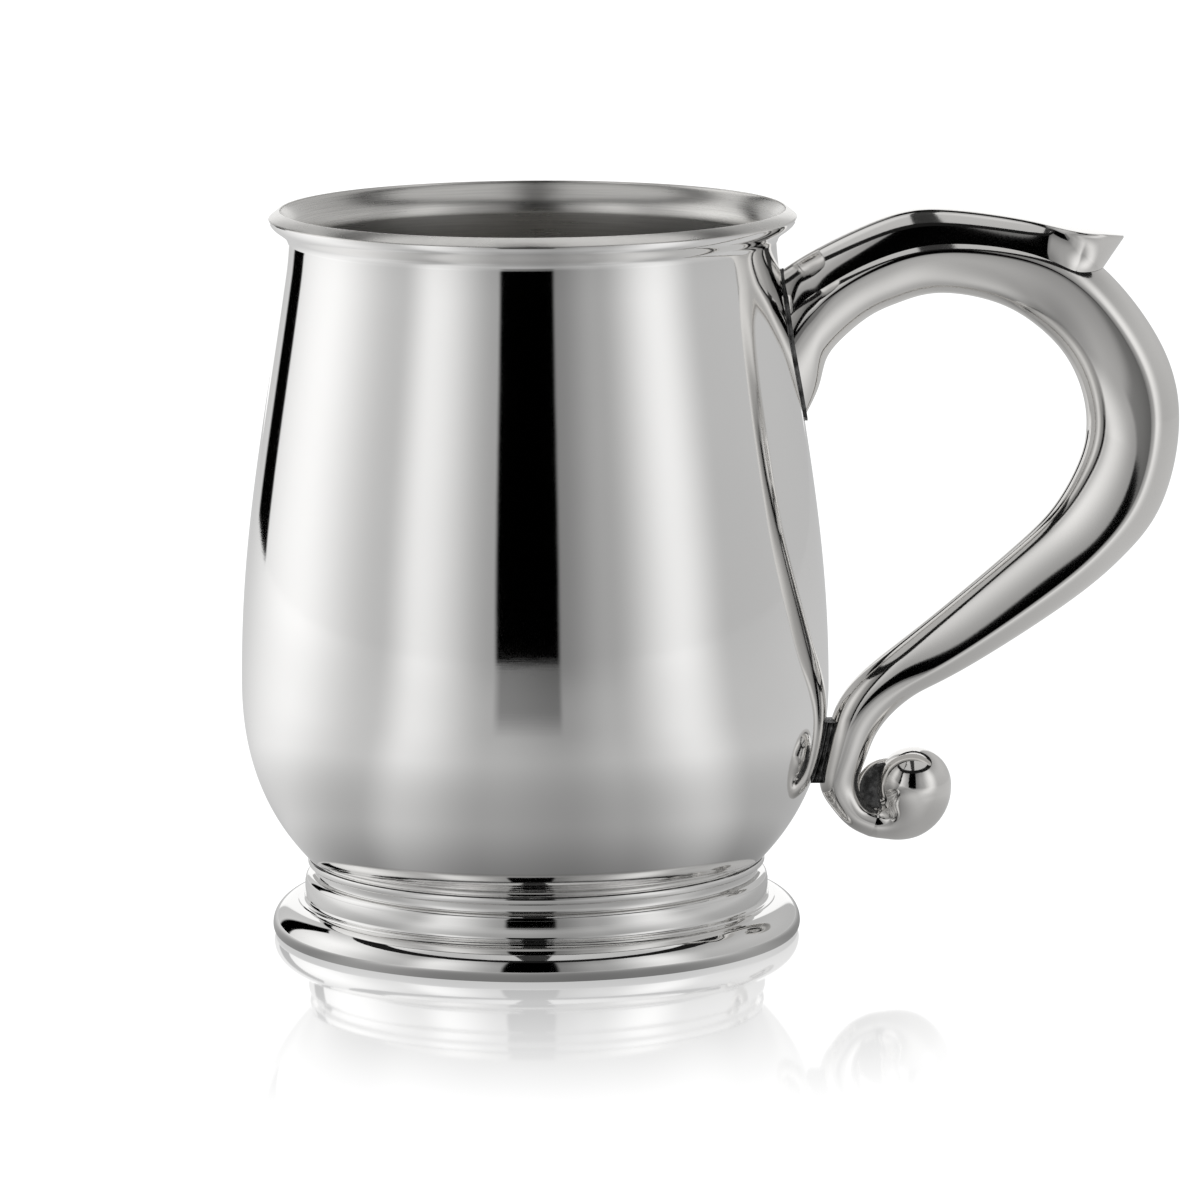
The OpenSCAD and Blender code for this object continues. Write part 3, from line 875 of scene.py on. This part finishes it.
def azimuth_of(n):
    """0 to 1 round the Z axis, from behind by the left (-180) to behind again (180)."""
    part = n.add("SeparateXYZ", {0: n.add("TexCoord").outputs["Object"]})
    angle = n.math("ARCTAN2", part.outputs["X"], n.math("MULTIPLY", part.outputs["Y"], -1.0))
    return n.math("ADD", n.math("DIVIDE", angle, 2 * math.pi), 0.5), part.outputs["Z"]


def at(degrees):
    """Where an azimuth lies on a ramp that goes all the way round."""
    return degrees / 360 + 0.5


def panels(n, turn):
    """Two soft panels either side of the lens, and a paler wall round the back."""
    return n.ramp(turn, [(at(-180), 0.55), (at(-163), 0.66), (at(-105), 1.20), (at(-61), 0.62),
                         (at(-45), 1.02), (at(-15), 0.42), (at(9.7), 0.26), (at(28), 0.44),
                         (at(57), 1.04), (at(80), 0.58), (at(120), 0.62), (at(180), 0.55)])


def slit_ramp(n, turn, edge, smooth):
    """1 in the slit for the lens and 0 outside it, over an edge some degrees wide."""
    return n.ramp(turn, [(at(SLIT_LEFT), 0.0), (at(SLIT_LEFT + edge), 1.0),
                         (at(SLIT_RIGHT - edge), 1.0), (at(SLIT_RIGHT), 0.0)], smooth=smooth)


def tent_light(n):
    turn, height = azimuth_of(n)
    glow = panels(n, turn)
    back = n.ramp(turn, [(at(-162), 1.0), (at(-159), 0.0), (at(159), 0.0), (at(162), 1.0)],
                  smooth=False)
    slit = slit_ramp(n, turn, SLIT_EDGE, smooth=False)
    side_gap = n.ramp(turn, [(at(-148), 0.0), (at(-147), 1.0), (at(-133.5), 1.0), (at(-132.5), 0.0)],
                      smooth=False)
    above = n.math("GREATER_THAN", height, -30 * MM)
    below_top = n.math("LESS_THAN", height, 560 * MM)
    side_gap = n.math("MULTIPLY", side_gap, n.math("MULTIPLY", above, below_top))
    fade = n.ramp(n.math("DIVIDE", height, TENT_TOP * MM), [(0.0, 0.92), (0.45, 1.0), (1.0, 0.78)])
    dark = n.math("SUBTRACT", 1.0, n.math("MAXIMUM", slit, side_gap))
    cloth = n.math("MAXIMUM", n.math("MULTIPLY", glow, fade), n.math("MULTIPLY", back, WHITE))
    return n.math("MULTIPLY", cloth, dark)


def build_tent():
    """A round tent of diffusing cloth with a slit for the lens, seen only in reflections."""
    outline = [[TENT_R, TENT_BOTTOM], [TENT_R, TENT_TOP]]
    tent = lathe("tent", outline, [emission("tent_cloth", tent_light)], closed=False, steps=180)
    stage_piece(tent)


def ceiling_light(n):
    part = n.add("SeparateXYZ", {0: n.add("TexCoord").outputs["Object"]})
    cloth = n.ramp(n.math("ADD", n.math("MULTIPLY", part.outputs["Y"], 0.7), 0.5),
                   [(0.0, 0.6), (0.4, 0.62), (0.6, 0.85), (1.0, 1.1)])
    seam = n.math("GREATER_THAN", part.outputs["X"], -112 * MM)
    seam = n.math("MULTIPLY", seam, n.math("LESS_THAN", part.outputs["X"], 76 * MM))
    seam = n.math("MULTIPLY", seam, n.math("LESS_THAN", part.outputs["Y"], 170 * MM))
    return n.math("MULTIPLY", cloth, n.math("SUBTRACT", 1.0, n.math("MULTIPLY", seam, 0.93)))


def build_ceiling():
    outline = [[CEILING_R, CEILING_Z], [0.0, CEILING_Z]]
    top = lathe("ceiling", outline, [emission("ceiling_cloth", ceiling_light)], closed=False,
                steps=96)
    stage_piece(top)


def floor_material():
    """A white table. The camera sees it plain, with a mirror that fades out from the foot;
    reflections see it glowing with painted light from the tent's panels, a painted shadow under
    the tankard and painted shade in the slit's direction."""
    material = bpy.data.materials.new("white_table")
    n = Nodes(material)
    part = n.add("SeparateXYZ", {0: n.add("TexCoord").outputs["Object"]})
    x, y = part.outputs["X"], part.outputs["Y"]
    radius = n.math("SQRT", n.math("ADD", n.math("MULTIPLY", x, x), n.math("MULTIPLY", y, y)))
    mirror = n.ramp(n.math("DIVIDE", radius, MIRROR_R * MM),
                    [(0.21, 0.59), (0.44, 0.36), (0.74, 0.0)], smooth=False)
    seen = n.add("Emission", {"Color": (1, 1, 1, 1), "Strength": WHITE})
    gloss = n.add("BsdfGlossy", {"Color": (1, 1, 1, 1), "Roughness": 0.05})
    table = n.add("MixShader", {0: mirror, 1: seen.outputs[0], 2: gloss.outputs[0]})
    far = n.math("DIVIDE", radius, TENT_R * MM)
    # Painted shadow: the table's glow darkens towards the tankard's foot.
    shade = n.ramp(far, [(0.045, 0.36), (0.09, 0.72), (0.2, 0.98), (1.0, 0.96)])
    # Painted light: the tent's panels painted onto the table by azimuth, stronger further out.
    contrast = n.ramp(far, [(0.05, 0.55), (0.4, 0.8), (0.9, 1.0)])
    turn, _ = azimuth_of(n)
    tone = n.math("MULTIPLY", n.math("SUBTRACT", panels(n, turn), TABLE_TONE), contrast)
    light = n.math("MULTIPLY", n.math("ADD", tone, TABLE_TONE), shade)
    # Painted shade: the table is darker in the slit's direction, further out from the foot.
    in_slit = slit_ramp(n, turn, TABLE_SLIT_EDGE, smooth=True)
    painted_slit_shade = n.ramp(far, [(0.30, 0.0), (0.46, 0.48)])
    light = n.math("MULTIPLY", light, n.math("SUBTRACT", 1.0, n.math("MULTIPLY", in_slit, painted_slit_shade)))
    # Reflections see this painted light and shade as the table's emission.
    painted_table_light = n.add("Emission", {"Strength": light})
    path = n.add("LightPath")
    both = n.add("MixShader", {0: path.outputs["Is Camera Ray"], 1: painted_table_light.outputs[0],
                               2: table.outputs[0]})
    n.add("OutputMaterial", {"Surface": both.outputs[0]})
    return material


def build_floor():
    outline = [[0.0, 0.0], [TABLE_R, 0.0]]
    floor = lathe("floor", outline, [floor_material()], closed=False, steps=64)
    floor.location.z = -TABLE_DROP * MM
    stage_piece(floor, camera=True)


def build_world():
    world = bpy.data.worlds.new("studio")
    bpy.context.scene.world = world
    n = Nodes(world)
    white = n.add("Background", {"Color": (1, 1, 1, 1), "Strength": WHITE})
    room = n.add("Background", {"Color": (1, 1, 1, 1), "Strength": 0.012})
    path = n.add("LightPath")
    both = n.add("MixShader", {0: path.outputs["Is Camera Ray"], 1: room.outputs[0],
                               2: white.outputs[0]})
    n.add("OutputWorld", {"Surface": both.outputs[0]})


CAMERA_DISTANCE = 1.212
CAMERA_ELEVATION = math.radians(9.41)
CAMERA_TARGET_Z = 0.055
CAMERA_ROLL = math.radians(-0.25)
LENS = 225.4
SENSOR = 36.0
AIM = Vector((0.0105, 0, 0.0538))


def build_camera():
    """A long lens a little above the level, rolled so that the handle's side stands higher."""
    camera = bpy.data.cameras.new("camera")
    camera.sensor_width = SENSOR
    camera.lens = LENS
    camera.clip_start, camera.clip_end = 0.05, 100
    holder = bpy.data.objects.new("camera", camera)
    bpy.context.scene.collection.objects.link(holder)
    holder.location = (0, -CAMERA_DISTANCE * math.cos(CAMERA_ELEVATION),
                       CAMERA_TARGET_Z + CAMERA_DISTANCE * math.sin(CAMERA_ELEVATION))
    holder.rotation_mode = "QUATERNION"
    level = (AIM - holder.location).to_track_quat("-Z", "Y")
    holder.rotation_quaternion = level @ Quaternion((0, 0, 1), CAMERA_ROLL)
    bpy.context.scene.camera = holder


build_tent()
build_ceiling()
build_floor()
build_world()
build_camera()
scene = bpy.context.scene
scene.view_settings.view_transform = "Standard"
scene.view_settings.look = "None"
